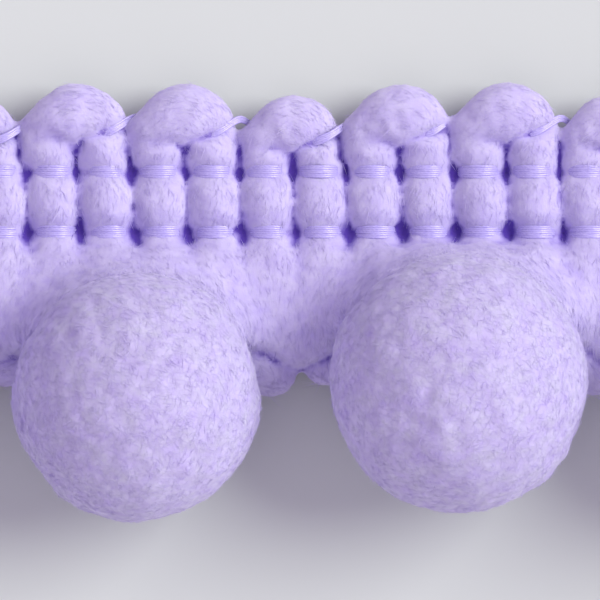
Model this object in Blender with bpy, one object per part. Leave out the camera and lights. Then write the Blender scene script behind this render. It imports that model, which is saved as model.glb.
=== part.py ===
"""A cut length of mini pompom fringe trim, lying on its back with its pompoms towards -Y.

One thick soft yarn makes the band. It runs up a column, turns over in a round loop at the top
edge and comes down the next column. Three thin binding threads hold the columns side by side.
Between the pompoms the yarn hangs lower, in a bib whose ends curl in under them as lobes.

Metres, +Z up, +X along the trim. The origin is under the middle of the trim.
"""

import math
import random
from collections import namedtuple

import bmesh
import bpy
from mathutils import Vector, noise

MM = 0.001
GAP = 0.3 * MM

# The repeat: two columns to a loop, three loops to a pompom, and a low loop between pompoms.
COLUMN_PITCH = 1.25 * MM
LOOP_PITCH = 2 * COLUMN_PITCH
LOOPS_PER_POMPOM = 3

# Heights up the trim of the three binding threads, from its middle.
LOWER_THREAD_Y = 1.64 * MM
MIDDLE_THREAD_Y = 3.05 * MM
TOP_THREAD_Y = 4.12 * MM

YARN_THICKNESS = 1.30 * MM
YARN_HALF_WIDTH = 0.70 * MM

# Each binding thread is flat. It lies in front of the grooves that it pulls into the columns.
THREAD_WIDTH = 0.22 * MM
THREAD_THICKNESS = 0.10 * MM
THREAD_FRONT_Z = 1.03 * MM
THREAD_BACK_Z = 0.06 * MM
THREAD_DIP = 0.10 * MM
THREAD_HALF_BAR = 0.34 * MM
END_TURN_REACH = 0.42 * MM
END_TURN_ANGLES = (-90, -45, 0, 45)

# A cross-section of the yarn, in shares of its half width and half height. It is round in
# front and flat behind, where the trim lies on its back.
OUTLINE = (
    (1.00, 0.00),
    (0.74, 0.70),
    (0.00, 1.00),
    (-0.74, 0.70),
    (-1.00, 0.00),
    (-0.46, -1.00),
    (0.46, -1.00),
)

Section = namedtuple("Section", "x y heading left right low high")
Loop = namedtuple("Loop", "crest lean")
Pompom = namedtuple("Pompom", "x y radius height seed")
Lobe = namedtuple("Lobe", "side tip_x tip_y radius")
Groove = namedtuple("Groove", "distance half_width low high")
End = namedtuple("End", "y shift half_width low high")
Turn = namedtuple("Turn", "degrees inner outer low high")
Stub = namedtuple("Stub", "y lean_share half_width low high")

# One row for each loop from left to right: how high its crest reaches and how far it leans.
LOOPS = (
    Loop(4.88 * MM, -0.12 * MM),
    Loop(5.11 * MM, -0.17 * MM),
    Loop(5.14 * MM, -0.20 * MM),
    Loop(4.86 * MM, -0.15 * MM),
    Loop(5.15 * MM, -0.19 * MM),
    Loop(5.13 * MM, -0.21 * MM),
    Loop(4.87 * MM, -0.16 * MM),
    Loop(5.13 * MM, -0.18 * MM),
    Loop(5.16 * MM, -0.14 * MM),
    Loop(4.87 * MM, -0.13 * MM),
    Loop(5.13 * MM, -0.19 * MM),
    Loop(5.10 * MM, -0.15 * MM),
    Loop(4.89 * MM, -0.13 * MM),
)
LOW_CREST = 4.95 * MM

# One row for each pompom from left to right.
POMPOMS = (
    Pompom(-11.21 * MM, -2.08 * MM, 2.98 * MM, 5.84 * MM, 11),
    Pompom(-3.75 * MM, -2.23 * MM, 2.93 * MM, 5.76 * MM, 23),
    Pompom(3.76 * MM, -1.88 * MM, 3.05 * MM, 5.92 * MM, 37),
    Pompom(11.27 * MM, -2.12 * MM, 2.96 * MM, 5.80 * MM, 53),
)
POMPOM_FLAT = 0.09 * MM
POMPOM_LUMP = 0.05 * MM
POMPOM_LUMP_SIZE = 0.9 * MM
POMPOM_SEGMENTS = 24
POMPOM_RINGS = 14
HOLLOW_SEGMENTS = 20
HOLLOW_RINGS = 12

# The two yarn ends that curl out from under a bib, each towards the pompom on its side.
LOBES = (
    Lobe(-1, -0.50 * MM, -1.58 * MM, 0.56 * MM),
    Lobe(1, 0.44 * MM, -1.56 * MM, 0.42 * MM),
)
LOBE_ROOT_X = 0.30 * MM
LOBE_ROOT_Y = -0.55 * MM
LOBE_ROOT_Z = 0.80 * MM
LOBE_TIP_Z = 0.92 * MM
LOBE_ROOT_SHARE = 0.8
LOBE_TURNS = (0, 32, 58, 78)

# The groove that a binding thread pulls into a column, from its rim to the thread.
GROOVE = (
    Groove(0.52 * MM, 0.60 * MM, 0.00 * MM, 1.16 * MM),
    Groove(0.28 * MM, 0.54 * MM, 0.36 * MM, 0.74 * MM),
    Groove(0.00 * MM, 0.51 * MM, 0.41 * MM, 0.66 * MM),
)

# The lower end of a column, from its tip up. The shift is towards the middle of the bib. Over a
# pompom a column rises into the ball, at the ball's side it lies against it, and in a bib it
# hangs to a tip.
OVER_END = (
    End(-0.60 * MM, 0.00 * MM, 0.56 * MM, 1.10 * MM, 2.60 * MM),
    End(-0.15 * MM, 0.00 * MM, 0.68 * MM, 0.78 * MM, 2.38 * MM),
    End(0.30 * MM, 0.00 * MM, 0.71 * MM, 0.44 * MM, 2.00 * MM),
    End(0.72 * MM, 0.00 * MM, 0.71 * MM, 0.14 * MM, 1.56 * MM),
)
SIDE_END = (
    End(-0.86 * MM, 0.00 * MM, 0.34 * MM, 0.70 * MM, 1.30 * MM),
    End(-0.66 * MM, 0.00 * MM, 0.54 * MM, 0.52 * MM, 1.62 * MM),
    End(-0.20 * MM, 0.00 * MM, 0.68 * MM, 0.34 * MM, 1.82 * MM),
    End(0.55 * MM, 0.00 * MM, 0.70 * MM, 0.12 * MM, 1.52 * MM),
)
BIB_END = (
    End(-1.41 * MM, 0.50 * MM, 0.20 * MM, 0.72 * MM, 1.20 * MM),
    End(-1.26 * MM, 0.44 * MM, 0.42 * MM, 0.52 * MM, 1.46 * MM),
    End(-0.90 * MM, 0.28 * MM, 0.64 * MM, 0.40 * MM, 1.66 * MM),
    End(-0.25 * MM, 0.10 * MM, 0.72 * MM, 0.26 * MM, 1.66 * MM),
    End(0.45 * MM, 0.00 * MM, 0.71 * MM, 0.10 * MM, 1.50 * MM),
)

# The turn of a loop, a fat comma, as angles round its middle with an inner and outer radius. Its
# head ends where the top thread ties it to the column that comes down.
TURN = (
    Turn(180, 0.05 * MM, 1.27 * MM, 0.40 * MM, 1.22 * MM),
    Turn(160, 0.05 * MM, 1.29 * MM, 0.46 * MM, 1.30 * MM),
    Turn(140, 0.05 * MM, 1.36 * MM, 0.46 * MM, 1.35 * MM),
    Turn(120, 0.07 * MM, 1.46 * MM, 0.46 * MM, 1.38 * MM),
    Turn(100, 0.09 * MM, 1.50 * MM, 0.46 * MM, 1.40 * MM),
    Turn(80, 0.13 * MM, 1.50 * MM, 0.46 * MM, 1.40 * MM),
    Turn(62, 0.22 * MM, 1.45 * MM, 0.46 * MM, 1.37 * MM),
    Turn(46, 0.36 * MM, 1.34 * MM, 0.46 * MM, 1.26 * MM),
    Turn(32, 0.52 * MM, 1.18 * MM, 0.52 * MM, 1.04 * MM),
)
LOW_LOOP_SHARE = 0.92

# The short top of the column that comes down, behind the comma's head. A low loop drops it.
STUB = (
    Stub(3.60 * MM, 0.6, 0.58 * MM, 0.10 * MM, 1.16 * MM),
    Stub(3.86 * MM, 0.9, 0.50 * MM, 0.34 * MM, 1.02 * MM),
    Stub(4.04 * MM, 1.0, 0.36 * MM, 0.44 * MM, 0.86 * MM),
    Stub(4.20 * MM, 1.0, 0.30 * MM, 0.50 * MM, 0.80 * MM),
)
LOW_LOOP_DROP = 0.22 * MM

# Soft yarn is never quite even: the most that a section strays in width and thickness.
UNEVEN_SHARE = 0.025

# Joining the yarn leaves slivers where surfaces cross. Close points are welded, and the least
# useful faces dropped.
WELD_DISTANCE = 0.005 * MM
KEPT_FACES = 0.88

SHARP_ANGLE = math.radians(60)

YARN_COLOUR = (0.565, 0.475, 0.820, 1.0)
THREAD_COLOUR = (0.680, 0.600, 0.930, 1.0)
POMPOM_COLOUR = (0.550, 0.455, 0.800, 1.0)


def clear_scene():
    for old in list(bpy.data.objects):
        bpy.data.objects.remove(old, do_unlink=True)


def make_material(name, colour, roughness):
    material = bpy.data.materials.new(name)
    material.use_nodes = True
    shader = material.node_tree.nodes["Principled BSDF"]
    shader.inputs["Base Color"].default_value = colour
    shader.inputs["Roughness"].default_value = roughness
    shader.inputs["Metallic"].default_value = 0.0
    return material


def add_object(name, shape, material, collection=None):
    """Makes an object of the bmesh, shaded smooth, with flat faces that point out."""
    bmesh.ops.triangulate(shape, faces=shape.faces)
    bmesh.ops.recalc_face_normals(shape, faces=shape.faces)
    mesh = bpy.data.meshes.new(name)
    shape.to_mesh(mesh)
    shape.free()
    mesh.shade_smooth()
    mesh.set_sharp_from_angle(angle=SHARP_ANGLE)
    mesh.materials.append(material)
    made = bpy.data.objects.new(name, mesh)
    (collection or bpy.context.scene.collection).objects.link(made)
    return made


def add_helper_collection(name):
    collection = bpy.data.collections.new(name)
    bpy.context.scene.collection.children.link(collection)
    return collection


def hide_helper(helper):
    helper.hide_render = True
    helper.display_type = "WIRE"


def skin_rings(shape, rings, closed):
    """Joins each ring of points to the next, and caps both ends unless the rings close up."""
    pairs = list(zip(rings, rings[1:]))
    if closed:
        pairs.append((rings[-1], rings[0]))
    for one, two in pairs:
        for k in range(len(one)):
            after = (k + 1) % len(one)
            shape.faces.new((one[k], one[after], two[after], two[k]))
    if not closed:
        shape.faces.new(rings[0])
        shape.faces.new(rings[-1][::-1])


def add_yarn(name, sections, material, collection=None):
    """A closed length of yarn through the sections, each square to its own heading."""
    shape = bmesh.new()
    rings = []
    for section in sections:
        across = Vector((math.sin(section.heading), -math.cos(section.heading), 0))
        middle = (section.low + section.high) / 2
        half_height = (section.high - section.low) / 2
        ring = []
        for wide, tall in OUTLINE:
            reach = wide * (section.right if wide > 0 else section.left)
            place = Vector((section.x, section.y, middle + tall * half_height))
            ring.append(shape.verts.new(place + across * reach))
        rings.append(ring)
    skin_rings(shape, rings, closed=False)
    return add_object(name, shape, material, collection)


def is_low(loop):
    return loop.crest < LOW_CREST


def across_column(x, y, half_width, low, high):
    """A section of a column, which runs straight up the trim."""
    return Section(x, y, math.pi / 2, half_width, half_width, low, high)


def lower_end(index, to_middle):
    """The rows for a column's lower end. Next to a bib, a column lies at its pompom's side."""
    if is_low(LOOPS[index]):
        return BIB_END
    first_after_bib = index % LOOPS_PER_POMPOM == 1
    return SIDE_END if first_after_bib == (to_middle > 0) else OVER_END


def column_sections(x, to_middle, index):
    """One column from its lower end to just above the middle thread."""
    sections = []
    rim, wall, floor = GROOVE
    pillow_y = (LOWER_THREAD_Y + MIDDLE_THREAD_Y) / 2
    for row in lower_end(index, to_middle):
        row_x = x + row.shift * to_middle
        sections.append(across_column(row_x, row.y, row.half_width, row.low, row.high))
    sections += groove_sections(x, LOWER_THREAD_Y, (rim, wall, floor), (wall, rim))
    sections.append(across_column(x, pillow_y, YARN_HALF_WIDTH, 0, YARN_THICKNESS))
    sections += groove_sections(x, MIDDLE_THREAD_Y, (rim, wall, floor), (wall,))
    return sections


def groove_sections(x, thread_y, below, above):
    """A column's sections on both sides of a binding thread."""
    sections = []
    for row in below:
        y = thread_y - row.distance
        sections.append(across_column(x, y, row.half_width, row.low, row.high))
    for row in above:
        y = thread_y + row.distance
        sections.append(across_column(x, y, row.half_width, row.low, row.high))
    return sections


def rising_column(middle_x, index):
    """The left column of a loop, and the loop's turn at its top."""
    loop = LOOPS[index]
    size = LOW_LOOP_SHARE if is_low(loop) else 1.0
    centre_x = middle_x + loop.lean
    centre_y = loop.crest - size * max(row.outer for row in TURN)
    sections = column_sections(middle_x - COLUMN_PITCH / 2, 1, index)
    for row in TURN:
        angle = math.radians(row.degrees)
        radius = size * (row.inner + row.outer) / 2
        half_width = size * (row.outer - row.inner) / 2
        sections.append(
            Section(
                centre_x + radius * math.cos(angle),
                centre_y + radius * math.sin(angle),
                angle - math.pi / 2,
                half_width,
                half_width,
                row.low,
                row.high - (1 - size) * YARN_THICKNESS,
            )
        )
    return sections


def falling_column(middle_x, index):
    """The right column of a loop, up to the top thread, where the turn meets it."""
    loop = LOOPS[index]
    x = middle_x + COLUMN_PITCH / 2
    drop = LOW_LOOP_DROP if is_low(loop) else 0.0
    sections = column_sections(x, -1, index)
    for row in STUB:
        row_x = x + row.lean_share * loop.lean
        row_y = row.y - row.lean_share * drop
        sections.append(across_column(row_x, row_y, row.half_width, row.low, row.high))
    return sections


def uneven(sections, seed):
    """The same sections, each a little wider or narrower on its left, and a little thicker."""
    draw = random.Random(seed)
    made = []
    for section in sections:
        wider = 1 + draw.uniform(-UNEVEN_SHARE, UNEVEN_SHARE)
        thicker = 1 + draw.uniform(-UNEVEN_SHARE, UNEVEN_SHARE)
        made.append(section._replace(left=section.left * wider, high=section.high * thicker))
    return made


def lobe_sections(middle_x, lobe):
    """A yarn end that runs out from under a bib to a round tip beside a pompom."""
    root = Vector((middle_x + lobe.side * LOBE_ROOT_X, LOBE_ROOT_Y, LOBE_ROOT_Z))
    tip = Vector((middle_x + lobe.tip_x, lobe.tip_y, LOBE_TIP_Z))
    forward = (tip - root).normalized()
    places = [(root, LOBE_ROOT_SHARE * lobe.radius)]
    for degrees in LOBE_TURNS:
        turn = math.radians(degrees)
        reach = lobe.radius * math.sin(turn)
        places.append((tip + forward * reach, lobe.radius * math.cos(turn)))
    heading = math.atan2(forward.y, forward.x)
    return [
        Section(at.x, at.y, heading, radius, radius, at.z - radius, at.z + radius)
        for at, radius in places
    ]


def add_boolean(target, name, operation, collection):
    modifier = target.modifiers.new(name, "BOOLEAN")
    modifier.operation = operation
    modifier.solver = "EXACT"
    modifier.operand_type = "COLLECTION"
    modifier.collection = collection


def yarn_lengths():
    """The sections of every length of yarn in the band, from left to right."""
    lengths = []
    half_length = len(LOOPS) / 2 * LOOP_PITCH
    for index, loop in enumerate(LOOPS):
        middle_x = (index - (len(LOOPS) - 1) / 2) * LOOP_PITCH
        lengths.append(rising_column(middle_x, index))
        lengths.append(falling_column(middle_x, index))
        for lobe in LOBES:
            has_pompom = abs(middle_x + lobe.side * LOOP_PITCH) < half_length
            if is_low(loop) and has_pompom:
                lengths.append(lobe_sections(middle_x, lobe))
    return [uneven(sections, seed) for seed, sections in enumerate(lengths)]


def build_band(material):
    """All the yarn fused into one length and cut clear of the pompoms."""
    pieces = add_helper_collection("yarn_pieces")
    hollows = add_helper_collection("pompom_hollows")
    first, *others = yarn_lengths()
    band = add_yarn("yarn_band", first, material)
    for number, sections in enumerate(others, 2):
        hide_helper(add_yarn(f"yarn_{number}", sections, material, pieces))
    for number, pompom in enumerate(POMPOMS, 1):
        hide_helper(add_hollow(f"hollow_{number}", pompom, material, hollows))
    add_boolean(band, "fuse the yarn", "UNION", pieces)
    add_boolean(band, "clear the pompoms", "DIFFERENCE", hollows)
    weld = band.modifiers.new("weld the joints", "WELD")
    weld.merge_threshold = WELD_DISTANCE
    thin = band.modifiers.new("drop slivers", "DECIMATE")
    thin.ratio = KEPT_FACES


def add_hollow(name, pompom, material, collection):
    """The room that the yarn leaves for a pompom, its gap included."""
    shape = bmesh.new()
    radius = pompom.radius + GAP + POMPOM_LUMP
    bmesh.ops.create_uvsphere(
        shape, u_segments=HOLLOW_SEGMENTS, v_segments=HOLLOW_RINGS, radius=radius
    )
    made = add_object(name, shape, material, collection)
    made.location = (pompom.x, pompom.y, pompom.height / 2)
    return made


def build_pompom(name, pompom, material):
    """A dense ball of cut yarn, a little uneven, with a small flat where it rests."""
    shape = bmesh.new()
    bmesh.ops.create_uvsphere(
        shape, u_segments=POMPOM_SEGMENTS, v_segments=POMPOM_RINGS, radius=1
    )
    half_height = pompom.height / 2 + POMPOM_FLAT / 2
    offset = Vector((pompom.seed, 0, 0))
    for vert in shape.verts:
        out = vert.co.normalized()
        lump = noise.noise(out * pompom.radius / POMPOM_LUMP_SIZE + offset)
        radius = pompom.radius + POMPOM_LUMP * lump
        vert.co.x = pompom.x + out.x * radius
        vert.co.y = pompom.y + out.y * radius
        vert.co.z = pompom.height - half_height + out.z * half_height
        vert.co.z = max(vert.co.z, 0)
    return add_object(name, shape, material)


def build_thread(name, y, points, closed, material):
    """A thin flat thread in the plane across the trim at height y, through (x, z) points."""
    shape = bmesh.new()
    rings = []
    count = len(points)
    for index, (x, z) in enumerate(points):
        before = points[index - 1] if closed or index else points[0]
        after = points[(index + 1) % count] if closed or index + 1 < count else points[-1]
        along = Vector((after[0] - before[0], 0, after[1] - before[1])).normalized()
        out = Vector((-along.z, 0, along.x)) * THREAD_THICKNESS / 2
        side = Vector((0, THREAD_WIDTH / 2, 0))
        centre = Vector((x, y, z))
        corners = (out + side, out - side, -out - side, -out + side)
        rings.append([shape.verts.new(centre + corner) for corner in corners])
    skin_rings(shape, rings, closed)
    return add_object(name, shape, material)


def end_turn(side, end_x):
    """Points round the end column, from the back of the trim to its front for side 1."""
    middle_z = (THREAD_BACK_Z + THREAD_FRONT_Z) / 2
    half_height = (THREAD_FRONT_Z - THREAD_BACK_Z) / 2
    points = []
    for degrees in END_TURN_ANGLES:
        turn = math.radians(degrees)
        reach = end_x + END_TURN_REACH * math.cos(turn)
        points.append((side * reach, middle_z + half_height * math.sin(turn)))
    return points


def binding_ring(columns):
    """A thread that lies over every column in front, dips between them and runs flat behind."""
    end_x = (columns - 1) / 2 * COLUMN_PITCH + GROOVE[-1][1]
    front = []
    for index in range(columns):
        x = (index - (columns - 1) / 2) * COLUMN_PITCH
        front.append((x - THREAD_HALF_BAR, THREAD_FRONT_Z))
        front.append((x + THREAD_HALF_BAR, THREAD_FRONT_Z))
        if index < columns - 1:
            front.append((x + COLUMN_PITCH / 2, THREAD_FRONT_Z - THREAD_DIP))
    return end_turn(-1, end_x) + front + end_turn(1, end_x)[::-1]


def main():
    clear_scene()
    yarn = make_material("band yarn", YARN_COLOUR, 0.95)
    thread = make_material("binding thread", THREAD_COLOUR, 0.45)
    pile = make_material("pompom pile", POMPOM_COLOUR, 1.0)
    columns = 2 * len(LOOPS)
    half_length = columns / 2 * COLUMN_PITCH

    build_band(yarn)
    for number, pompom in enumerate(POMPOMS, 1):
        build_pompom(f"pompom_{number}", pompom, pile)
    ring = binding_ring(columns)
    build_thread("binding_thread_lower", LOWER_THREAD_Y, ring, True, thread)
    build_thread("binding_thread_middle", MIDDLE_THREAD_Y, ring, True, thread)
    straight = [(side * half_length, THREAD_BACK_Z) for side in (-1, -0.5, 0, 0.5, 1)]
    build_thread("binding_thread_top", TOP_THREAD_Y, straight, False, thread)


main()
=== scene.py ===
"""The looks of a lilac pompom fringe trim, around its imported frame.

The heading and fringe are one soft yarn: each column is pulled through its stations, and all are
fused into one fleece. Loose fibres lie along the yarn. The pompoms are tufted balls of cut pile.
Flat bundles of thin glossy strands bind the columns. Metres, +X along the trim, +Z out of its
face.
"""

import math
from collections import namedtuple

import bpy
import numpy as np
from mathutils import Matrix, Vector
from mathutils.kdtree import KDTree


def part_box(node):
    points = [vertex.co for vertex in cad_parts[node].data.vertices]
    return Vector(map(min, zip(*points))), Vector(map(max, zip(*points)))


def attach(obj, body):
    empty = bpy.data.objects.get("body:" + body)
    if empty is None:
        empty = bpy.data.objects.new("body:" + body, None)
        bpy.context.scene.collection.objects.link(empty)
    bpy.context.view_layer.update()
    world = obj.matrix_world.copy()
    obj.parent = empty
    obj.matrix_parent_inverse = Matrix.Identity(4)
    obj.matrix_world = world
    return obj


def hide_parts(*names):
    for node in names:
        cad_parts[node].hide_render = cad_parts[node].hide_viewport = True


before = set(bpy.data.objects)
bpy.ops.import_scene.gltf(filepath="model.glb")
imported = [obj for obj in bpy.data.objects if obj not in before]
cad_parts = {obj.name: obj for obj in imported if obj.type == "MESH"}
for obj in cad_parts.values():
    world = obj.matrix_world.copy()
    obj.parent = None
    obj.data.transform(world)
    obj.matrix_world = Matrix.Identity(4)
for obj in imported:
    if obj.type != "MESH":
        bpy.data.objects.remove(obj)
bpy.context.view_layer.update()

MM = 0.001

# Places that the frame gives.
LOWER_ROW = sum(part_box("binding_thread_lower"), Vector()) / 2
MIDDLE_ROW = sum(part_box("binding_thread_middle"), Vector()) / 2
THREAD_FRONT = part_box("binding_thread_lower")[1].z
TRIM_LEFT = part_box("binding_thread_top")[0].x
TRIM_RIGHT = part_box("binding_thread_top")[1].x
COLUMNS = 26
PITCH = (TRIM_RIGHT - TRIM_LEFT) / COLUMNS
REPEAT = 6 * PITCH
POMPOM_NODES = ("pompom_1", "pompom_2", "pompom_3", "pompom_4")

Station = namedtuple("Station", "x y heading half_width low high")
Loop = namedtuple("Loop", "crest lean low")
Turn = namedtuple("Turn", "degrees inner outer low high")
Row = namedtuple("Row", "y half_width low high")
Ridge = namedtuple("Ridge", "y crest valley")
Lobe = namedtuple("Lobe", "side root tip radius")
Bend = namedtuple("Bend", "share depth spread")
Pass = namedtuple("Pass", "dx y z spread")
Pompom = namedtuple("Pompom", "node centre radius")
Tones = namedtuple("Tones", "lit shaded halo hollow")
Sun = namedtuple("Sun", "name direction strength spread colour")

# One row for each loop: its crest's height, its lean, and whether it is one of the low loops
# between two pompoms.
LOOPS = (
    Loop(4.88 * MM, -0.12 * MM, True),
    Loop(5.11 * MM, -0.17 * MM, False),
    Loop(5.14 * MM, -0.20 * MM, False),
    Loop(4.86 * MM, -0.15 * MM, True),
    Loop(5.15 * MM, -0.19 * MM, False),
    Loop(5.12 * MM, -0.15 * MM, False),
    Loop(4.86 * MM, -0.14 * MM, True),
    Loop(5.12 * MM, -0.13 * MM, False),
    Loop(5.16 * MM, -0.12 * MM, False),
    Loop(4.87 * MM, -0.13 * MM, True),
    Loop(5.13 * MM, -0.19 * MM, False),
    Loop(5.10 * MM, -0.15 * MM, False),
    Loop(4.89 * MM, -0.13 * MM, True),
)
LOW_LOOP_SHARE = 0.92
TOP_CREST = 5.14 * MM
YARN_THICKNESS = 1.30 * MM

# A loop's turn, by angle round the loop's middle, from the column that rises on its left. The
# turn is a fat comma. The top threads pinch it off at its right, and below the pinch the yarn
# comes down in a round bump.
TURN = (
    Turn(196, 0.00 * MM, 1.30 * MM, 0.04 * MM, 1.24 * MM),
    Turn(181, -0.04 * MM, 1.31 * MM, 0.12 * MM, 1.13 * MM),
    Turn(168, -0.07 * MM, 1.37 * MM, 0.22 * MM, 1.22 * MM),
    Turn(159, -0.08 * MM, 1.42 * MM, 0.30 * MM, 1.28 * MM),
    Turn(149, -0.08 * MM, 1.30 * MM, 0.34 * MM, 1.35 * MM),
    Turn(134, -0.08 * MM, 1.29 * MM, 0.38 * MM, 1.41 * MM),
    Turn(116, -0.08 * MM, 1.36 * MM, 0.40 * MM, 1.45 * MM),
    Turn(98, -0.08 * MM, 1.41 * MM, 0.40 * MM, 1.47 * MM),
    Turn(80, -0.08 * MM, 1.41 * MM, 0.40 * MM, 1.47 * MM),
    Turn(64, -0.08 * MM, 1.41 * MM, 0.40 * MM, 1.46 * MM),
    Turn(50, -0.06 * MM, 1.39 * MM, 0.40 * MM, 1.43 * MM),
    Turn(38, -0.06 * MM, 1.36 * MM, 0.38 * MM, 1.37 * MM),
    Turn(28, -0.06 * MM, 1.32 * MM, 0.36 * MM, 1.24 * MM),
    Turn(19, -0.06 * MM, 1.27 * MM, 0.34 * MM, 0.93 * MM),
    Turn(10, -0.05 * MM, 1.24 * MM, 0.28 * MM, 1.12 * MM),
    Turn(-2, -0.02 * MM, 1.20 * MM, 0.16 * MM, 1.22 * MM),
    Turn(-15, 0.01 * MM, 1.22 * MM, 0.06 * MM, 1.19 * MM),
)

# A column beside a binding thread, as distances from it: rim, wall and the bound neck.
RIM = Row(0.40 * MM, 0.66 * MM, 0.00 * MM, 1.26 * MM)
WALL = Row(0.21 * MM, 0.615 * MM, 0.10 * MM, 1.10 * MM)
NECK = Row(0.00 * MM, 0.555 * MM, 0.18 * MM, 0.88 * MM)
PILLOW = Row(0.00 * MM, 0.67 * MM, 0.00 * MM, YARN_THICKNESS)

# Below the lower threads the columns are brushed out into one fringe, a slab of fleece. Each of
# its rows is a height up the trim, then its top on a column and between two columns.
COLUMN_FOOT = Row(0.80 * MM, 0.50 * MM, 0.10 * MM, 1.10 * MM)
COLUMN_HEAD_Y = 3.72 * MM
COLUMN_LEAN = -0.15 * MM
FRINGE_TOP = (
    Ridge(3.76 * MM, 0.30 * MM, 0.30 * MM),
    Ridge(3.60 * MM, 0.46 * MM, 0.46 * MM),
    Ridge(1.80 * MM, 0.46 * MM, 0.46 * MM),
    Ridge(1.52 * MM, 0.80 * MM, 0.46 * MM),
    Ridge(1.38 * MM, 1.12 * MM, 0.76 * MM),
    Ridge(1.22 * MM, 1.27 * MM, 1.08 * MM),
    Ridge(1.00 * MM, 1.38 * MM, 1.28 * MM),
    Ridge(0.40 * MM, 1.54 * MM, 1.50 * MM),
    Ridge(-0.10 * MM, 1.62 * MM, 1.58 * MM),
    Ridge(-0.60 * MM, 1.62 * MM, 1.60 * MM),
    Ridge(-1.60 * MM, 1.40 * MM, 1.40 * MM),
)
FRINGE_STEPS = 8
FRINGE_ROWS = 34
FRINGE_BACK = 0.10 * MM
FRINGE_EDGE = 0.36 * MM
FRINGE_RIM = 0.4 * MM
FRINGE_INSET = 0.12 * MM
RIB_ROUNDNESS = 0.6

# The fringe climbs onto the upper side of each pompom and ends a little way inside it. The climb
# fades in from the pompom's sides to its top, and fades out up the trim.
CLIMB_HEIGHT = 1.28 * MM
CLIMB_REACH = 0.30 * MM
CLIMB_INSIDE = 0.95 * MM
CLIMB_INSIDE_RISE = 0.5
CLIMB_SIDES = (0.20, 0.62)
CLIMB_FADE = (1.56 * MM, 1.10 * MM)

# Between two pompoms the fringe hangs in a bib, with a blunt point at its middle. Its back is
# lifted off the ground towards its edge, and its fibres gather a little towards the point.
BIB_SHIFT = -0.06 * MM
BIB_POINT = -1.66 * MM
BIB_LEFT_SLOPE = 0.53
BIB_RIGHT_SLOPE = 0.37
BIB_END_SLOPE = 1.0
BIB_LIFT = 0.56 * MM
BIB_LIFT_REACH = 1.0 * MM
BIB_HALF_WIDTH = 1.5 * PITCH
BIB_GATHER = 0.35

# Where the fringe's fibres start up the trim, and how thick it is taken to be there and below.
RUN_START_Y = 1.3 * MM
RUN_TOPS = (2.0 * MM, 2.4 * MM)

# The yarn ends that curl out from under a bib.
LOBES = (
    Lobe(-1, Vector((-1.50, -1.22, 1.15)) * MM, Vector((-0.60, -1.61, 0.70)) * MM, 0.62 * MM),
    Lobe(1, Vector((1.50, -1.46, 1.10)) * MM, Vector((0.64, -1.50, 0.70)) * MM, 0.47 * MM),
)
LOBE_ROOT_SHARE = 0.9
LOBE_TURNS = (0, 30, 55, 76)

# How the yarn is fused and softened. Subdividing draws a ring in, so the rings start larger.
# YARN_HOLLOW, like PILE_HOLLOW, is the rounds of smoothing and the lift at which a crease counts as
# full depth for the painted crease shade.
YARN_SIDES = 8
RING_SWELL = 1.12
FUSE_VOXEL = 0.089 * MM
UNEVEN_SHARE = 0.04
GRAIN_STEP = 0.12 * MM
LENGTH_GAP = 5 * MM
LOCK_SIZE = 0.34 * MM
LOCK_HEIGHT = 0.07 * MM
YARN_HOLLOW = (24, 0.07 * MM)
HEADING_TOLERANCE = 0.001

# A binding thread is a flat bundle of fine strands. BAR is one column's part of a strand's way:
# shares of the pitch, depths below the bar and how wide the bundle is spread there.
STRANDS = 6
STRAND_RADIUS = 0.036 * MM
STRANDS_APART = 0.049 * MM
STRAND_STRAY = 0.010 * MM
BAR_TOP = THREAD_FRONT - 0.02 * MM
THREAD_BACK = 0.07 * MM
END_INSET = 0.24 * MM
END_REACH = 0.34 * MM
END_TURNS = (60, 20, -20, -60)
BAR = (
    Bend(0.000, 1.00 * MM, 0.55),
    Bend(0.045, 0.82 * MM, 0.60),
    Bend(0.080, 0.50 * MM, 0.72),
    Bend(0.150, 0.26 * MM, 0.88),
    Bend(0.260, 0.11 * MM, 0.96),
    Bend(0.420, 0.02 * MM, 1.00),
    Bend(0.580, 0.02 * MM, 1.00),
    Bend(0.740, 0.11 * MM, 0.96),
    Bend(0.850, 0.26 * MM, 0.88),
    Bend(0.920, 0.50 * MM, 0.72),
    Bend(0.955, 0.82 * MM, 0.60),
)

# The top strands' way past one loop, from its left shoulder: places from the loop's middle, and
# how wide the bundle is spread. TIE_DROP is how far they follow a low loop down.
TIE_STRANDS = 4
TIE_DROP = 0.6
TIE = (
    Pass(-1.12 * MM, 4.34 * MM, 0.60 * MM, 0.70),
    Pass(-0.98 * MM, 4.26 * MM, 0.26 * MM, 0.60),
    Pass(-0.60 * MM, 4.05 * MM, 0.12 * MM, 0.60),
    Pass(-0.20 * MM, 3.86 * MM, 0.12 * MM, 0.60),
    Pass(0.02 * MM, 3.80 * MM, 0.34 * MM, 0.60),
    Pass(0.18 * MM, 3.84 * MM, 0.76 * MM, 0.70),
    Pass(0.36 * MM, 3.90 * MM, 1.00 * MM, 0.85),
    Pass(0.55 * MM, 3.96 * MM, 1.08 * MM, 1.00),
    Pass(0.74 * MM, 4.04 * MM, 1.06 * MM, 1.00),
    Pass(0.90 * MM, 4.15 * MM, 0.96 * MM, 0.90),
    Pass(1.05 * MM, 4.25 * MM, 0.86 * MM, 0.80),
    Pass(1.22 * MM, 4.32 * MM, 0.76 * MM, 0.75),
)

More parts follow.
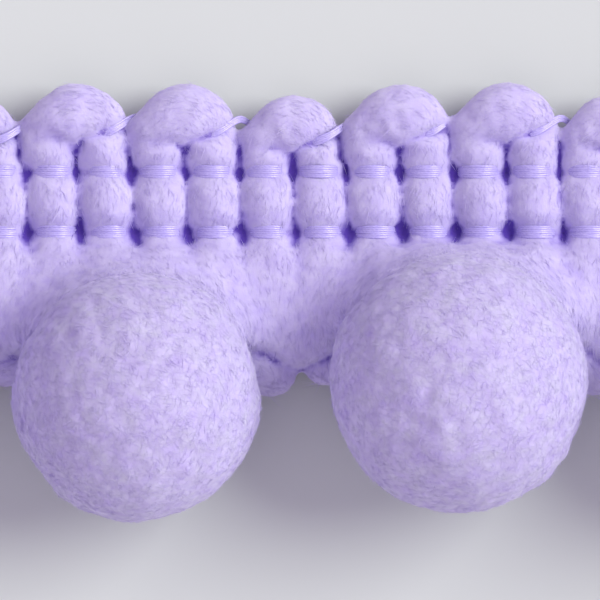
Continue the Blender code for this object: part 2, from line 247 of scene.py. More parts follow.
# Loose fibres on the yarn. The ranges of length and width are in millimetres.
FIBRE_RIDGE = 0.4
FIBRE_LOWEST = 0.001 * MM
YARN_FIBRES = 34000
YARN_FIBRE_SLANT = 0.40
YARN_FIBRE_LIFT = (0.00, 0.10)
YARN_FIBRE_LENGTH = (0.16, 0.42)
YARN_FIBRE_WIDTH = (0.012, 0.022)
YARN_FIBRE_ROOT = 0.01 * MM
SEAM_REACH = 1.0
SEAM_WIDTH = 0.25 * MM

# The pompoms' cut pile: broad lumps and fine tufts on the core, then short fibres.
LUMP_SIZE = 1.3 * MM
LUMP_HEIGHT = 0.16 * MM
TUFT_SIZE = 0.38 * MM
TUFT_HEIGHT = 0.10 * MM
PILE_INSET = 0.02 * MM
PILE_HOLLOW = (12, 0.06 * MM)
PILE_FIBRES = 28500
PILE_FIBRE_LIFT = (0.00, 0.11)
PILE_FIBRE_LENGTH = (0.12, 0.32)
PILE_FIBRE_WIDTH = (0.014, 0.026)
PILE_FIBRE_ROOT = 0.012 * MM

# Colours of the fleece, lit and shaded, and of the painted shade: a tint round its hollows and a
# deeper colour in them.
YARN_TONES = Tones(
    lit=(0.62, 0.578, 0.775, 1.0),
    shaded=(0.50, 0.435, 0.735, 1.0),
    halo=(0.42, 0.33, 0.80, 1.0),
    hollow=(0.09, 0.045, 0.35, 1.0),
)
PILE_TONES = Tones(
    lit=(0.612, 0.592, 0.76, 1.0),
    shaded=(0.535, 0.45, 0.80, 1.0),
    halo=(0.535, 0.45, 0.80, 1.0),
    hollow=(0.44, 0.34, 0.75, 1.0),
)
YARN_RELIEF = 0.5
PILE_RELIEF = 0.25
SHEEN_TINT = (0.86, 0.80, 1.0, 1.0)
THREAD_DARK = (0.36, 0.30, 0.70, 1.0)
THREAD_LIGHT = (0.57, 0.51, 0.84, 1.0)

# The light: soft from the right, weak from the pompoms' side, and a pale room all round. A sun's
# spread is in degrees.
SUNS = (
    Sun("key", (0.84, 0.32, 0.76), 2.95, 38, (0.99, 1.0, 0.97)),
    Sun("fill", (-0.15, -0.80, 0.75), 0.48, 90, (0.98, 0.94, 1.0)),
)
ROOM_COLOUR = (0.89, 0.765, 1.0, 1.0)
ROOM_STRENGTH = 0.58
FLOOR_COLOUR = (0.60, 0.64, 0.60, 1.0)
FLOOR_SIZE = 2.0
FLOOR_DROP = 0.01 * MM

# The photograph's frame: the width that it shows, and what lies at its middle.
VIEW_WIDTH = 14.0625 * MM
VIEW_CENTRE = Vector((0.0703 * MM, 0.0469 * MM, 0))
CAMERA_HEIGHT = 0.45
SENSOR = 36.0


class Maths:
    """A shader value that ordinary arithmetic turns into Math nodes."""

    def __init__(self, recipe, socket):
        self.recipe = recipe
        self.socket = socket

    def work(self, operation, *values):
        sockets = [v.socket if isinstance(v, Maths) else v for v in values]
        made = self.recipe.node("Math", {"operation": operation}, sockets)
        return Maths(self.recipe, made.outputs[0])

    def __add__(self, other):
        return self.work("ADD", self, other)

    def __radd__(self, other):
        return self.work("ADD", other, self)

    def __sub__(self, other):
        return self.work("SUBTRACT", self, other)

    def __rsub__(self, other):
        return self.work("SUBTRACT", other, self)

    def __mul__(self, other):
        return self.work("MULTIPLY", self, other)

    def __rmul__(self, other):
        return self.work("MULTIPLY", other, self)

    def __pow__(self, other):
        return self.work("POWER", self, other)

    def kept_between(self, low, high):
        return self.work("MINIMUM", self.work("MAXIMUM", self, low), high)


class Recipe:
    """The nodes of one material."""

    def __init__(self, name):
        self.material = bpy.data.materials.new(name)
        self.material.use_nodes = True
        self.tree = self.material.node_tree
        self.shader = self.tree.nodes["Principled BSDF"]

    def node(self, kind, settings, values=()):
        """A node of that kind. Its settings come first, then a number or a link for each socket."""
        made = self.tree.nodes.new("ShaderNode" + kind)
        for key, value in settings.items():
            setattr(made, key, value)
        pairs = values.items() if isinstance(values, dict) else enumerate(values)
        for socket, value in pairs:
            if isinstance(value, Maths):
                value = value.socket
            if isinstance(value, bpy.types.NodeSocket):
                self.tree.links.new(value, made.inputs[socket])
            elif value is not None:
                made.inputs[socket].default_value = value
        return made

    def feed(self, socket, value):
        source = value.socket if isinstance(value, Maths) else value
        self.tree.links.new(source, self.shader.inputs[socket])

    def set(self, socket, value):
        self.shader.inputs[socket].default_value = value

    def place(self):
        return self.node("TexCoord", {}).outputs["Object"]

    def attribute(self, name, output):
        return self.node("Attribute", {"attribute_name": name}).outputs[output]

    def stretched(self, vector, scale):
        return self.node("Mapping", {}, {"Vector": vector, "Scale": scale}).outputs[0]

    def noise(self, vector, size, detail=2.0, roughness=0.5):
        """Soft noise from 0 to 1 about one half, with features of that size."""
        values = {"Vector": vector, "Scale": 1 / size, "Detail": detail, "Roughness": roughness}
        return Maths(self, self.node("TexNoise", {}, values).outputs[0])

    def mix(self, share, one, two):
        """Colour one turning to colour two as the share goes from 0 to 1."""
        made = self.node("Mix", {"data_type": "RGBA"}, {0: share, 6: one, 7: two})
        return made.outputs[2]

    def bump(self, height, distance, strength):
        values = {"Strength": strength, "Distance": distance, "Height": height}
        return self.node("Bump", {}, values).outputs[0]


def alone(piece):
    """Selects that piece and nothing else."""
    bpy.ops.object.select_all(action="DESELECT")
    piece.select_set(True)
    bpy.context.view_layer.objects.active = piece


def apply_place(piece):
    alone(piece)
    bpy.ops.object.transform_apply(location=True, rotation=True, scale=True)


def finish_modifier(piece, kind, settings):
    """Adds a modifier with its settings, and applies it."""
    alone(piece)
    made = piece.modifiers.new(kind.lower(), kind)
    for key, value in settings.items():
        setattr(made, key, value)
    bpy.ops.object.modifier_apply(modifier=made.name)


def link(name, data):
    """An object of that data, in the scene."""
    made = bpy.data.objects.new(name, data)
    bpy.context.scene.collection.objects.link(made)
    return made


def clouds(name, size):
    """A soft cloud texture with features of that size."""
    texture = bpy.data.textures.new(name, "CLOUDS")
    texture.noise_scale = size
    texture.noise_depth = 1
    return texture


def heading_turn(change, centre):
    """Turns the chosen ring about +Z. With no window open, Blender takes the turn negated."""
    bpy.ops.transform.rotate(value=-change, orient_axis="Z", center_override=centre)


def pull_yarn(name, stations):
    """A closed length of yarn: a disc, extruded from station to station."""
    bpy.ops.object.select_all(action="DESELECT")
    start = stations[0]
    centre = Vector((start.x, start.y, (start.low + start.high) / 2))
    bpy.ops.mesh.primitive_circle_add(
        vertices=YARN_SIDES, radius=1, fill_type="NGON", location=centre, rotation=(math.pi / 2, 0, 0)
    )
    piece = bpy.context.object
    piece.name = name
    bpy.ops.object.mode_set(mode="EDIT")
    bpy.ops.mesh.select_all(action="SELECT")
    half_height = (start.high - start.low) / 2
    bpy.ops.transform.resize(value=(start.half_width, 1, half_height), center_override=centre)
    heading_turn(start.heading - math.pi / 2, centre)
    for before, station in zip(stations, stations[1:]):
        after = Vector((station.x, station.y, (station.low + station.high) / 2))
        bpy.ops.mesh.extrude_region_move(TRANSFORM_OT_translate={"value": after - centre})
        wider = station.half_width / before.half_width
        taller = (station.high - station.low) / (before.high - before.low)
        turned = any(abs(s.heading - math.pi / 2) > HEADING_TOLERANCE for s in (before, station))
        if turned:
            heading_turn(math.pi / 2 - before.heading, after)
        bpy.ops.transform.resize(value=(wider, 1, taller), center_override=after)
        if turned:
            heading_turn(station.heading - math.pi / 2, after)
        centre = after
    bpy.ops.mesh.select_all(action="SELECT")
    bpy.ops.mesh.normals_make_consistent(inside=False)
    bpy.ops.object.mode_set(mode="OBJECT")
    apply_place(piece)
    return piece


def pompoms():
    """The pompoms' places in the frame, left to right."""
    found = []
    for node in POMPOM_NODES:
        low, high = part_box(node)
        found.append(Pompom(node, (low + high) / 2, (high.x - low.x) / 4 + (high.y - low.y) / 4))
    return found


def leaning(x, y, lean):
    """Where a column that leans towards its loop has its middle, at that height up the trim."""
    return x + lean * min(1, max(0, (y - COLUMN_FOOT.y) / (COLUMN_HEAD_Y - COLUMN_FOOT.y)))


def upright(x, row, y, lean):
    return Station(leaning(x, y, lean), y, math.pi / 2, row.half_width, row.low, row.high)


def smooth_step(low, high, value):
    """From 0 at low to 1 at high, level at both. High may be the smaller of the two."""
    share = min(1, max(0, (value - low) / (high - low)))
    return share * share * (3 - 2 * share)


def from_bib(x, first_middle):
    """How far x is to the right of the nearest bib's middle."""
    return (x - first_middle + REPEAT / 2) % REPEAT - REPEAT / 2


def fringe_end(x, balls):
    """How far down the fringe hangs at x: to a bib's blunt point, or into a pompom."""
    ends = []
    for ball in balls:
        across = abs(x - ball.centre.x)
        if across < ball.radius:
            ends.append(ball.centre.y + math.sqrt(ball.radius ** 2 - across ** 2) - CLIMB_INSIDE)
    off = from_bib(x, TRIM_LEFT + PITCH + BIB_SHIFT)
    slope = BIB_LEFT_SLOPE if off < 0 else BIB_RIGHT_SLOPE
    if x < balls[0].centre.x - REPEAT / 2 or x > balls[-1].centre.x + REPEAT / 2:
        slope = BIB_END_SLOPE
    ends.append(BIB_POINT + slope * abs(off))
    return max(ends)


def fringe_top(x, y, end, balls):
    """The height of the fringe's face: ribs that fade, a round lower edge and a climb to the balls."""
    heights = [row.y for row in reversed(FRINGE_TOP)]
    crest = np.interp(y, heights, [row.crest for row in reversed(FRINGE_TOP)])
    valley = np.interp(y, heights, [row.valley for row in reversed(FRINGE_TOP)])
    on_column = math.sin(math.pi * (x - TRIM_LEFT) / PITCH) ** 2
    top = valley + (crest - valley) * on_column ** RIB_ROUNDNESS
    near_end = min(1, max(0, (y - end) / FRINGE_EDGE))
    roundness = math.sqrt(1 - (1 - near_end) ** 2)
    top = BIB_LIFT + FRINGE_RIM + (top - BIB_LIFT - FRINGE_RIM) * roundness
    for ball in balls:
        away = Vector((x - ball.centre.x, y - ball.centre.y))
        gap = away.length - ball.radius
        over = smooth_step(*CLIMB_SIDES, away.y / away.length)
        outside = CLIMB_HEIGHT * math.exp(-max(gap, 0) / CLIMB_REACH)
        climb = (outside + CLIMB_INSIDE_RISE * max(-gap, 0)) * over
        top += climb * smooth_step(*CLIMB_FADE, y)
    return top


def make_fringe():
    """The slab of brushed-out fleece: a grid, extruded once and then drawn to its heights."""
    balls = pompoms()
    columns = COLUMNS * FRINGE_STEPS
    bpy.ops.object.select_all(action="DESELECT")
    bpy.ops.mesh.primitive_grid_add(
        x_subdivisions=columns, y_subdivisions=FRINGE_ROWS, size=2, location=(0, 0, 0)
    )
    slab = bpy.context.object
    slab.name = "fringe"
    face_count = len(slab.data.vertices)
    bpy.ops.object.mode_set(mode="EDIT")
    bpy.ops.mesh.select_all(action="SELECT")
    bpy.ops.mesh.extrude_region_move(TRANSFORM_OT_translate={"value": (0, 0, 1)})
    bpy.ops.object.mode_set(mode="OBJECT")
    start = FRINGE_TOP[0].y
    width = TRIM_RIGHT - TRIM_LEFT - 2 * FRINGE_INSET
    for index, vertex in enumerate(slab.data.vertices):
        x = TRIM_LEFT + FRINGE_INSET + (vertex.co.x + 1) / 2 * width
        share = (1 - vertex.co.y) / 2
        end = fringe_end(x, balls)
        y = start + (end - start) * share
        is_face = index >= face_count
        lifted = BIB_LIFT * smooth_step(end + BIB_LIFT_REACH, end, y)
        vertex.co = (x, y, fringe_top(x, y, end, balls) if is_face else FRINGE_BACK + lifted)
    alone(slab)
    bpy.ops.object.mode_set(mode="EDIT")
    bpy.ops.mesh.select_all(action="SELECT")
    bpy.ops.mesh.normals_make_consistent(inside=False)
    bpy.ops.object.mode_set(mode="OBJECT")
    return slab


def fringe_runs():
    """Which way the brushed-out yarn runs, as stations down the fringe."""
    balls = pompoms()
    runs = []
    for index in range(2 * COLUMNS):
        x = TRIM_LEFT + (index + 0.5) * PITCH / 2
        end = fringe_end(x, balls)
        off = from_bib(x, TRIM_LEFT + PITCH)
        inward = -BIB_GATHER * off if abs(off) < BIB_HALF_WIDTH else 0.0
        runs.append([
            Station(x, RUN_START_Y, -math.pi / 2, PITCH / 2, 0, RUN_TOPS[0]),
            Station(x + inward, end, -math.pi / 2, PITCH / 2, 0, RUN_TOPS[1]),
        ])
    return runs


def column_stations(x, lean):
    """A column from its foot in the fringe to just above the middle threads."""
    rows = [(COLUMN_FOOT, COLUMN_FOOT.y)]
    rows += [(row, LOWER_ROW.y - row.y) for row in (RIM, WALL, NECK)]
    rows += [(row, LOWER_ROW.y + row.y) for row in (WALL, RIM)]
    rows.append((PILLOW, (LOWER_ROW.y + MIDDLE_ROW.y) / 2))
    rows += [(row, MIDDLE_ROW.y - row.y) for row in (RIM, WALL, NECK)]
    rows.append((WALL, MIDDLE_ROW.y + WALL.y))
    return [upright(x, row, y, lean) for row, y in rows]


def loop_yarn(middle_x, loop):
    """One loop: up its left column, round its turn and down its right column."""
    size = LOW_LOOP_SHARE if loop.low else 1.0
    centre_x = middle_x + loop.lean
    centre_y = loop.crest - size * max(row.outer for row in TURN)
    stations = column_stations(middle_x - PITCH / 2, loop.lean)
    for row in TURN:
        angle = math.radians(row.degrees)
        radius = size * (row.inner + row.outer) / 2
        x = centre_x + radius * math.cos(angle)
        y = centre_y + radius * math.sin(angle)
        high = row.high - (1 - size) * YARN_THICKNESS
        half_width = size * (row.outer - row.inner) / 2
        stations.append(Station(x, y, angle - math.pi / 2, half_width, row.low, high))
    down = column_stations(middle_x + PITCH / 2, loop.lean)
    stations += [station._replace(heading=-math.pi / 2) for station in reversed(down)]
    return stations


def lobe_yarn(middle_x, lobe):
    """A yarn end from under a bib to its round tip."""
    root = Vector((middle_x, 0, 0)) + lobe.root
    tip = Vector((middle_x, 0, 0)) + lobe.tip
    forward = Vector((tip.x - root.x, tip.y - root.y, 0)).normalized()
    heading = math.atan2(forward.y, forward.x)
    places = [(root, LOBE_ROOT_SHARE * lobe.radius)]
    for degrees in LOBE_TURNS:
        turn = math.radians(degrees)
        places.append((tip + forward * lobe.radius * math.sin(turn), lobe.radius * math.cos(turn)))
    return [Station(at.x, at.y, heading, size, at.z - size, at.z + size) for at, size in places]


def swollen(station):
    """The station a little larger, to make up for what subdividing draws in."""
    more = (RING_SWELL - 1) * (station.high - station.low) / 2
    width = station.half_width * RING_SWELL
    return station._replace(half_width=width, low=station.low - more, high=station.high + more)


def yarn_lengths():
    """The stations of every length of yarn, left to right, each a little uneven."""
    lengths = []
    for index, loop in enumerate(LOOPS):
        middle_x = TRIM_LEFT + (2 * index + 1) * PITCH
        lengths.append(loop_yarn(middle_x, loop))
        for lobe in LOBES:
            beside = middle_x + lobe.side * 2 * PITCH
            if loop.low and TRIM_LEFT < beside < TRIM_RIGHT:
                lengths.append(lobe_yarn(middle_x, lobe))
    draw = np.random.default_rng(7)
    uneven = []
    for stations in lengths:
        share = 1 + UNEVEN_SHARE * draw.uniform(-1, 1, (len(stations), 2))
        uneven.append([
            swollen(s._replace(half_width=s.half_width * wide, high=s.high * thick))
            for s, (wide, thick) in zip(stations, share)
        ])
    return uneven


class Grain:
    """Which way the yarn runs, and how far along it, at any place on the fused fleece."""

    def __init__(self, lengths):
        self.rows = []
        for number, stations in enumerate(lengths):
            run = number * LENGTH_GAP
            for one, two in zip(stations, stations[1:]):
                start = Vector((one.x, one.y, (one.low + one.high) / 2))
                end = Vector((two.x, two.y, (two.low + two.high) / 2))
                far = (end - start).length
                steps = max(1, int(far / GRAIN_STEP))
                for step in range(steps):
                    place = start.lerp(end, step / steps)
                    self.rows.append((place, (end - start).normalized(), run + far * step / steps))
                run += far
        self.tree = KDTree(len(self.rows))
        for number, (place, _, _) in enumerate(self.rows):
            self.tree.insert(place, number)
        self.tree.balance()

    def read(self, places):
        """The yarn's direction at each place, and how far across, along and out the place is."""
        directions = np.empty((len(places), 3))
        grain = np.empty((len(places), 3))
        for index, place in enumerate(places):
            _, number, _ = self.tree.find(place)
            middle, direction, run = self.rows[number]
            offset = Vector(place) - middle
            across = Vector((direction.y, -direction.x, 0)).normalized()
            directions[index] = direction
            grain[index] = (offset.dot(across), run + offset.dot(direction), offset.z)
        return directions, grain


def vertex_values(mesh, key):
    """The places, key "co", or the normals, key "normal", of all the vertices."""
    flat = np.empty(len(mesh.vertices) * 3)
    mesh.vertices.foreach_get(key, flat)
    return flat.reshape(-1, 3)


def get_number(mesh, name):
    values = np.empty(len(mesh.vertices), np.float32)
    mesh.attributes[name].data.foreach_get("value", values)
    return values


def put_number(mesh, name, values):
    made = mesh.attributes.new(name, "FLOAT", "POINT")
    made.data.foreach_set("value", np.asarray(values, np.float32))


def put_vector(mesh, name, values):
    made = mesh.attributes.new(name, "FLOAT_VECTOR", "POINT")
    made.data.foreach_set("vector", np.asarray(values, np.float32).ravel())


def hollowness(mesh, rounds, depth):
    """From 0 on open surface to 1 in a crease of that depth, from how far smoothing lifts it. It masks
    the painted crease shade.
    """
    places = vertex_values(mesh, "co")
    edges = np.empty(len(mesh.edges) * 2, np.int64)
    mesh.edges.foreach_get("vertices", edges)
    one, two = edges.reshape(-1, 2).T
    count = np.bincount(edges, minlength=len(places))
    smooth = places.copy()
    for _ in range(rounds):
        total = np.empty_like(smooth)
        for axis in range(3):
            near = np.bincount(one, smooth[two, axis], len(places))
            total[:, axis] = near + np.bincount(two, smooth[one, axis], len(places))
        smooth = 0.5 * smooth + 0.5 * total / count[:, None]
    lift = ((smooth - places) * vertex_values(mesh, "normal")).sum(axis=1)
    return np.clip(lift / depth, 0, 1)


def scattered(mesh, count, draw, weigh):
    """Random places on the mesh, each with the normal and the number of a vertex close by."""
    mesh.calc_loop_triangles()
    corners = np.empty(len(mesh.loop_triangles) * 3, np.int64)
    mesh.loop_triangles.foreach_get("vertices", corners)
    corners = corners.reshape(-1, 3)
    places = vertex_values(mesh, "co")
    a, b, c = (places[corners[:, k]] for k in range(3))
    face = np.cross(b - a, c - a)
    area = np.linalg.norm(face, axis=1)
    out = face / np.maximum(area, 1e-12)[:, None]
    chance = area * weigh(out)
    chosen = draw.choice(len(area), count, p=chance / chance.sum())
    u, v = draw.random((2, count, 1))
    over = (u + v) > 1
    u, v = np.where(over, 1 - u, u), np.where(over, 1 - v, v)
    roots = a[chosen] + u * (b - a)[chosen] + v * (c - a)[chosen]
    near = corners[chosen, 0]
    return roots, vertex_values(mesh, "normal")[near], near


def unit(vectors):
    return vectors / np.maximum(np.linalg.norm(vectors, axis=1), 1e-12)[:, None]


def fibre_mesh(name, roots, tips, out, width, shade):
    """One joined mesh of thin pointed fibres, each a closed sliver of four faces."""
    count = len(roots)
    along = unit(tips - roots)
    side = unit(np.cross(along, out))
    lift = unit(np.cross(side, along))
    half = width[:, None] / 2
    ridge = roots + lift * half * FIBRE_RIDGE
    points = np.stack([roots + side * half, roots - side * half, ridge, tips], axis=1)
    points[:, :, 2] = np.maximum(points[:, :, 2], FIBRE_LOWEST)
    corner = np.array([(0, 2, 1), (0, 1, 3), (1, 2, 3), (2, 0, 3)])
    faces = (corner[None] + 4 * np.arange(count)[:, None, None]).reshape(-1, 3)
    mesh = bpy.data.meshes.new(name)
    mesh.from_pydata(points.reshape(-1, 3).tolist(), [], faces.tolist())
    mesh.update()
    put_number(mesh, "shade", np.repeat(shade, 4))
    return mesh


def join(pieces, name):
    bpy.ops.object.select_all(action="DESELECT")
    for piece in pieces:
        piece.select_set(True)
    bpy.context.view_layer.objects.active = pieces[0]
    bpy.ops.object.join()
    joined = bpy.context.object
    joined.name = name
    return joined


def raise_clouds(piece, name, size, height, middle):
    """Raises and sinks the surface in soft clouds. Clouds as pale as middle leave it in place."""
    finish_modifier(piece, "DISPLACE", {
        "texture": clouds(name, size), "texture_coords": "LOCAL", "strength": height,
        "mid_level": middle,
    })


def press_flat(piece):
    """Presses flat what would be below the surface that the trim lies on."""
    for vertex in piece.data.vertices:
        vertex.co.z = max(vertex.co.z, 0)


def make_yarn(lengths, grain, finish):
    """The fleece of the heading and fringe: all the lengths of yarn fused into one."""
    pulled = [pull_yarn(f"length_{number}", stations) for number, stations in enumerate(lengths)]
    yarn = join(pulled, "yarn")
    finish_modifier(yarn, "SUBSURF", {"levels": 2, "render_levels": 2})
    yarn = join([yarn, make_fringe()], "yarn")
    finish_modifier(yarn, "REMESH", {
        "mode": "VOXEL", "voxel_size": FUSE_VOXEL, "use_smooth_shade": True,
    })
    finish_modifier(yarn, "SMOOTH", {"factor": 0.5, "iterations": 2})
    raise_clouds(yarn, "locks", LOCK_SIZE, LOCK_HEIGHT, 0.5)
    press_flat(yarn)
    mesh = yarn.data
    _, across_along = grain.read(vertex_values(mesh, "co"))
    put_vector(mesh, "grain", across_along)
    # How deep in a crease each place lies: the mask for the painted crease shade.
    put_number(mesh, "hollow", hollowness(mesh, *YARN_HOLLOW))
    put_number(mesh, "shade", np.full(len(mesh.vertices), 0.5))
    mesh.materials.append(finish)
    return yarn


def beside_pompom(places):
    """From 0 to 1 where a pompom is close, so that the fringe's fibres reach over onto it."""
    near = np.zeros(len(places))
    for ball in pompoms():
        gap = np.hypot(places[:, 0] - ball.centre.x, places[:, 1] - ball.centre.y) - ball.radius
        near = np.maximum(near, np.exp(-(gap / SEAM_WIDTH) ** 2))
    return near


def make_yarn_fibres(yarn, grain, finish):
    """Loose fibres that lie along the yarn, most of them on its face."""
    draw = np.random.default_rng(21)
    count = YARN_FIBRES
    roots, out, near = scattered(
        yarn.data, count, draw, lambda up: np.clip(up[:, 2] + 0.6, 0.12, 1.0)
    )
    along, across_along = grain.read(roots)
    across = np.cross(along, out)
    slant = draw.normal(0, YARN_FIBRE_SLANT, (count, 1))
    lift = draw.uniform(*YARN_FIBRE_LIFT, (count, 1))
    sign = draw.choice((-1, 1), (count, 1))
    level = unit(along - out * (along * out).sum(axis=1)[:, None])
    way = unit(level * sign + unit(across) * slant + out * lift)
    longer = 1 + SEAM_REACH * beside_pompom(roots)[:, None]
    length = draw.uniform(*YARN_FIBRE_LENGTH, (count, 1)) * MM * longer
    width = draw.uniform(*YARN_FIBRE_WIDTH, count) * MM
    shade = draw.random(count)
    sunk = roots - out * YARN_FIBRE_ROOT
    mesh = fibre_mesh("yarn_fibres", sunk, roots + way * length, out, width, shade)
    # Each fibre takes the painted crease shade mask of the yarn beneath it.
    put_number(mesh, "hollow", np.repeat(get_number(yarn.data, "hollow")[near], 4))
    put_vector(mesh, "grain", np.repeat(across_along, 4, axis=0))
    mesh.materials.append(finish)
    return link("yarn_fibres", mesh)


def draw_out(piece, low, high):
    """Draws the piece out along each axis until it fills that box."""
    places = vertex_values(piece.data, "co")
    share = (places - places.min(axis=0)) / np.ptp(places, axis=0)
    filled = np.array(low) + share * np.array(high - low)
    piece.data.vertices.foreach_set("co", filled.ravel())
    piece.data.update()


def make_pile_core(name, pompom, finish):
    """The tufted core of a pompom, as large as its solid."""
    low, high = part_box(pompom.node)
    inset = Vector((PILE_INSET, PILE_INSET, PILE_INSET))
    half = (high - low) / 2
    bpy.ops.object.select_all(action="DESELECT")
    bpy.ops.mesh.primitive_ico_sphere_add(subdivisions=6, radius=1, location=pompom.centre)
    core = bpy.context.object
    core.name = name
    bpy.ops.object.mode_set(mode="EDIT")
    bpy.ops.mesh.select_all(action="SELECT")
    bpy.ops.transform.resize(value=half, center_override=pompom.centre)
    bpy.ops.object.mode_set(mode="OBJECT")
    apply_place(core)
    raise_clouds(core, "lumps", LUMP_SIZE, LUMP_HEIGHT, 0.5)
    raise_clouds(core, "tufts", TUFT_SIZE, TUFT_HEIGHT, 0.6)
    draw_out(core, low + inset, high - inset)
    core.data.shade_smooth()
    press_flat(core)
    mesh = core.data
    # How deep in a crease each place lies: the mask for the painted crease shade.
    put_number(mesh, "hollow", hollowness(mesh, *PILE_HOLLOW))
    put_number(mesh, "shade", np.full(len(mesh.vertices), 0.5))
    mesh.materials.append(finish)
    return core


def make_pile_fibres(core, seed, finish):
    """The cut ends of the pile: short fibres that lie every way on the core."""
    draw = np.random.default_rng(seed)
    count = PILE_FIBRES
    roots, out, near = scattered(
        core.data, count, draw, lambda up: np.clip(up[:, 2] + 1.3, 0.3, 1.0)
    )
    loose = unit(np.cross(out, draw.normal(0, 1, (count, 3))))
    lift = draw.uniform(*PILE_FIBRE_LIFT, (count, 1))
    length = draw.uniform(*PILE_FIBRE_LENGTH, (count, 1)) * MM
    width = draw.uniform(*PILE_FIBRE_WIDTH, count) * MM
    tips = roots + unit(loose + out * lift) * length
    sunk = roots - out * PILE_FIBRE_ROOT
    mesh = fibre_mesh("pile_fibres", sunk, tips, out, width, draw.random(count))
    # Each fibre takes the painted crease shade mask of the core beneath it.
    put_number(mesh, "hollow", np.repeat(get_number(core.data, "hollow")[near], 4))
    mesh.materials.append(finish)
    return link("pile_fibres", mesh)


def make_pompom(number, pompom, finish):
    """A ball of cut pile: a tufted core with its fibres."""
    core = make_pile_core(f"pile_{number}", pompom, finish)
    return join([core, make_pile_fibres(core, 100 + number, finish)], f"pile_{number}")


def strand(name, places, radius):
    """A thin strand, a smooth curve near the places with a round bevel, made a closed mesh."""
    route = bpy.data.curves.new(name, "CURVE")
    route.dimensions = "3D"
    route.resolution_u = 2
    spline = route.splines.new("NURBS")
    spline.points.add(len(places) - 1)
    spline.order_u = 4
    spline.use_endpoint_u = True
    for point, place in zip(spline.points, places):
        point.co = (*place, 1)
    route.bevel_depth = radius
    route.bevel_resolution = 1
    route.use_fill_caps = True
    piece = link(name, route)
    alone(piece)
    bpy.ops.object.convert(target="MESH")
    piece.data.shade_smooth()
    return piece


def row_front(row_y, off, draw):
    """One strand's way along the front: over each column, with a deep dip beside it."""
    places = []
    for index in range(COLUMNS):
        left = leaning(TRIM_LEFT + index * PITCH, row_y, COLUMN_LEAN)
        for share, depth, spread in BAR:
            stray_y, stray_z = draw.uniform(-STRAND_STRAY, STRAND_STRAY, 2)
            y = row_y + off * spread + stray_y
            places.append(Vector((left + share * PITCH, y, BAR_TOP - depth + stray_z)))
    return places


def end_turn(x, row_y, side):
    """A half turn round the end column, from the front to the back."""
    places = []
    up = (BAR_TOP - THREAD_BACK) / 2
    for degrees in END_TURNS:
        angle = math.radians(degrees)
        z = THREAD_BACK + up + up * math.sin(angle)
        places.append(Vector((x + side * END_REACH * math.cos(angle), row_y, z)))
    return places


def between_ends(places):
    """Those of the places that are clear of the half turns round the end columns."""
    return [p for p in places if TRIM_LEFT + END_INSET < p.x < TRIM_RIGHT - END_INSET]


def strand_offsets(count):
    """How far each strand of a flat bundle lies from the bundle's middle."""
    return [(number - (count - 1) / 2) * STRANDS_APART for number in range(count)]


def make_row_threads(name, row_y, finish):
    """A flat bundle of strands round the whole heading, bound in between the columns."""
    draw = np.random.default_rng(5)
    pieces = []
    for off in strand_offsets(STRANDS):
        y = row_y + off
        lines = [TRIM_LEFT + index * PITCH for index in range(COLUMNS, -1, -1)]
        front = between_ends(row_front(row_y, off, draw))
        back = between_ends([Vector((x, y, THREAD_BACK)) for x in lines])
        right = end_turn(TRIM_RIGHT - END_INSET, y, 1)
        left = end_turn(TRIM_LEFT + END_INSET, y, -1)
        pieces.append(strand(name, front + right + back + left[::-1], STRAND_RADIUS))
    return finish_threads(pieces, name, finish)


def finish_threads(pieces, name, finish):
    piece = join(pieces, name)
    piece.data.materials.clear()
    piece.data.materials.append(finish)
    return piece


def make_top_threads(name, finish):
    """The bundle that ties each loop's head down, crosses to the next loop and passes behind it."""
    draw = np.random.default_rng(6)
    pieces = []
    for off in strand_offsets(TIE_STRANDS):
        places = []
        for index, loop in enumerate(LOOPS):
            middle_x = TRIM_LEFT + (2 * index + 1) * PITCH
            drop = TIE_DROP * (TOP_CREST - loop.crest)
            for dx, y, z, spread in TIE:
                x = middle_x + dx
                if TRIM_LEFT + END_INSET < x < TRIM_RIGHT - END_INSET:
                    stray_y, stray_z = draw.uniform(-STRAND_STRAY, STRAND_STRAY, 2)
                    places.append(Vector((x, y - drop + off * spread + stray_y, z + stray_z)))
        pieces.append(strand(name, places, STRAND_RADIUS))
    return finish_threads(pieces, name, finish)


def fleece(name, tones, grain, relief):
    """Soft matt fleece: fine fibre lines, soft tufts of tone, and painted shade, a deeper violet, in
    its hollows.
    """
    recipe = Recipe(name)
    place = recipe.place()
    lines_at = place
    if grain:
        lines_at = recipe.stretched(recipe.attribute("grain", "Vector"), (1.0, 0.16, 1.0))
    tufts = recipe.noise(place, 0.42 * MM, 2.0)
    lines = recipe.noise(lines_at, 0.030 * MM, 3.0, 0.6)
    specks = recipe.noise(place, 0.09 * MM, 2.0)
    shade = Maths(recipe, recipe.attribute("shade", "Fac"))
    hollow = Maths(recipe, recipe.attribute("hollow", "Fac"))
    tone = (tufts * 1.3 + specks * 0.4 + lines * 0.45 + shade * 0.2 - 0.75).kept_between(0, 1)
    body = recipe.mix(tone, tones.shaded, tones.lit)
    # Painted shade: a violet tint round each crease and a darker violet deep in it, where shade falls.
    body = recipe.mix((hollow * 0.8).kept_between(0, 0.6), body, tones.halo)
    deep_shade_mask = (hollow * 1.5 - 0.45).kept_between(0, 1)
    recipe.feed("Base Color", recipe.mix(deep_shade_mask ** 1.4, body, tones.hollow))
    recipe.set("Roughness", 0.92)
    recipe.set("Sheen Weight", 0.35)
    recipe.set("Sheen Roughness", 0.45)
    recipe.set("Sheen Tint", SHEEN_TINT)
    recipe.set("Specular IOR Level", 0.25)
    recipe.set("Subsurface Weight", 0.25)
    recipe.set("Subsurface Radius", (1.0, 0.85, 1.25))
    recipe.set("Subsurface Scale", 0.25 * MM)
    height = lines * 0.6 + specks * 0.8
    recipe.feed("Normal", recipe.bump(height, 0.02 * MM, relief))
    return recipe.material


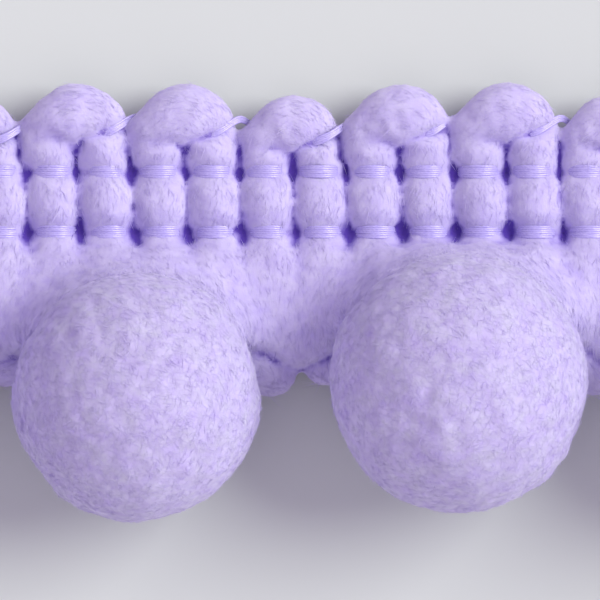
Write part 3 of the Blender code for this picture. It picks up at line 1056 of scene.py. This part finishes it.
def filament(name):
    """Thin glossy thread: fine lines along the trim, with a silky light."""
    recipe = Recipe(name)
    lines_at = recipe.stretched(recipe.place(), (0.25, 1.0, 1.0))
    lines = recipe.noise(lines_at, 0.02 * MM, 2.0)
    tone = (lines * 1.6 - 0.3).kept_between(0, 1)
    recipe.feed("Base Color", recipe.mix(tone, THREAD_DARK, THREAD_LIGHT))
    recipe.set("Roughness", 0.30)
    recipe.set("Specular IOR Level", 0.75)
    recipe.set("Coat Weight", 0.5)
    recipe.set("Coat Roughness", 0.25)
    recipe.set("Sheen Weight", 0.2)
    recipe.set("Sheen Roughness", 0.3)
    recipe.feed("Normal", recipe.bump(lines, 0.008 * MM, 0.8))
    return recipe.material


def make_camera():
    camera = bpy.data.cameras.new("camera")
    camera.sensor_width = SENSOR
    camera.lens = SENSOR * CAMERA_HEIGHT / VIEW_WIDTH
    camera.clip_start = 0.01
    camera.clip_end = 2.0
    made = link("camera", camera)
    made.location = VIEW_CENTRE + Vector((0, 0, CAMERA_HEIGHT))
    bpy.context.scene.camera = made


def make_light():
    """The suns and the pale room."""
    for sun in SUNS:
        light = bpy.data.lights.new(sun.name, "SUN")
        light.energy = sun.strength
        light.angle = math.radians(sun.spread)
        light.color = sun.colour
        made = link(sun.name, light)
        made.rotation_euler = Vector(sun.direction).to_track_quat("Z", "Y").to_euler()
    world = bpy.data.worlds.new("room")
    world.use_nodes = True
    background = world.node_tree.nodes["Background"]
    background.inputs["Color"].default_value = ROOM_COLOUR
    background.inputs["Strength"].default_value = ROOM_STRENGTH
    bpy.context.scene.world = world


def make_floor():
    bpy.ops.object.select_all(action="DESELECT")
    bpy.ops.mesh.primitive_plane_add(size=FLOOR_SIZE, location=(0, 0, -FLOOR_DROP))
    floor = bpy.context.object
    floor.name = "floor"
    apply_place(floor)
    recipe = Recipe("pale floor")
    recipe.set("Base Color", FLOOR_COLOUR)
    recipe.set("Roughness", 0.8)
    floor.data.materials.append(recipe.material)


def main():
    bpy.context.scene.view_settings.view_transform = "Standard"
    make_camera()
    make_light()
    make_floor()

    yarn_finish = fleece("brushed lilac yarn", YARN_TONES, True, YARN_RELIEF)
    pile_finish = fleece("cut lilac pile", PILE_TONES, False, PILE_RELIEF)
    thread_finish = filament("lilac filament thread")

    lengths = yarn_lengths()
    grain = Grain(lengths + fringe_runs())
    yarn = make_yarn(lengths, grain, yarn_finish)
    fibres = make_yarn_fibres(yarn, grain, yarn_finish)
    for piece in (yarn, fibres):
        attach(piece, "root")
        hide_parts("yarn_band")

    for number, pompom in enumerate(pompoms(), 1):
        pile = make_pompom(number, pompom, pile_finish)
        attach(pile, "root")
        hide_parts(pompom.node)

    threads = {
        "lower": make_row_threads("threads_lower", LOWER_ROW.y, thread_finish),
        "middle": make_row_threads("threads_middle", MIDDLE_ROW.y, thread_finish),
        "top": make_top_threads("threads_top", thread_finish),
    }
    for row, piece in threads.items():
        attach(piece, "root")
        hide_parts(f"binding_thread_{row}")


main()
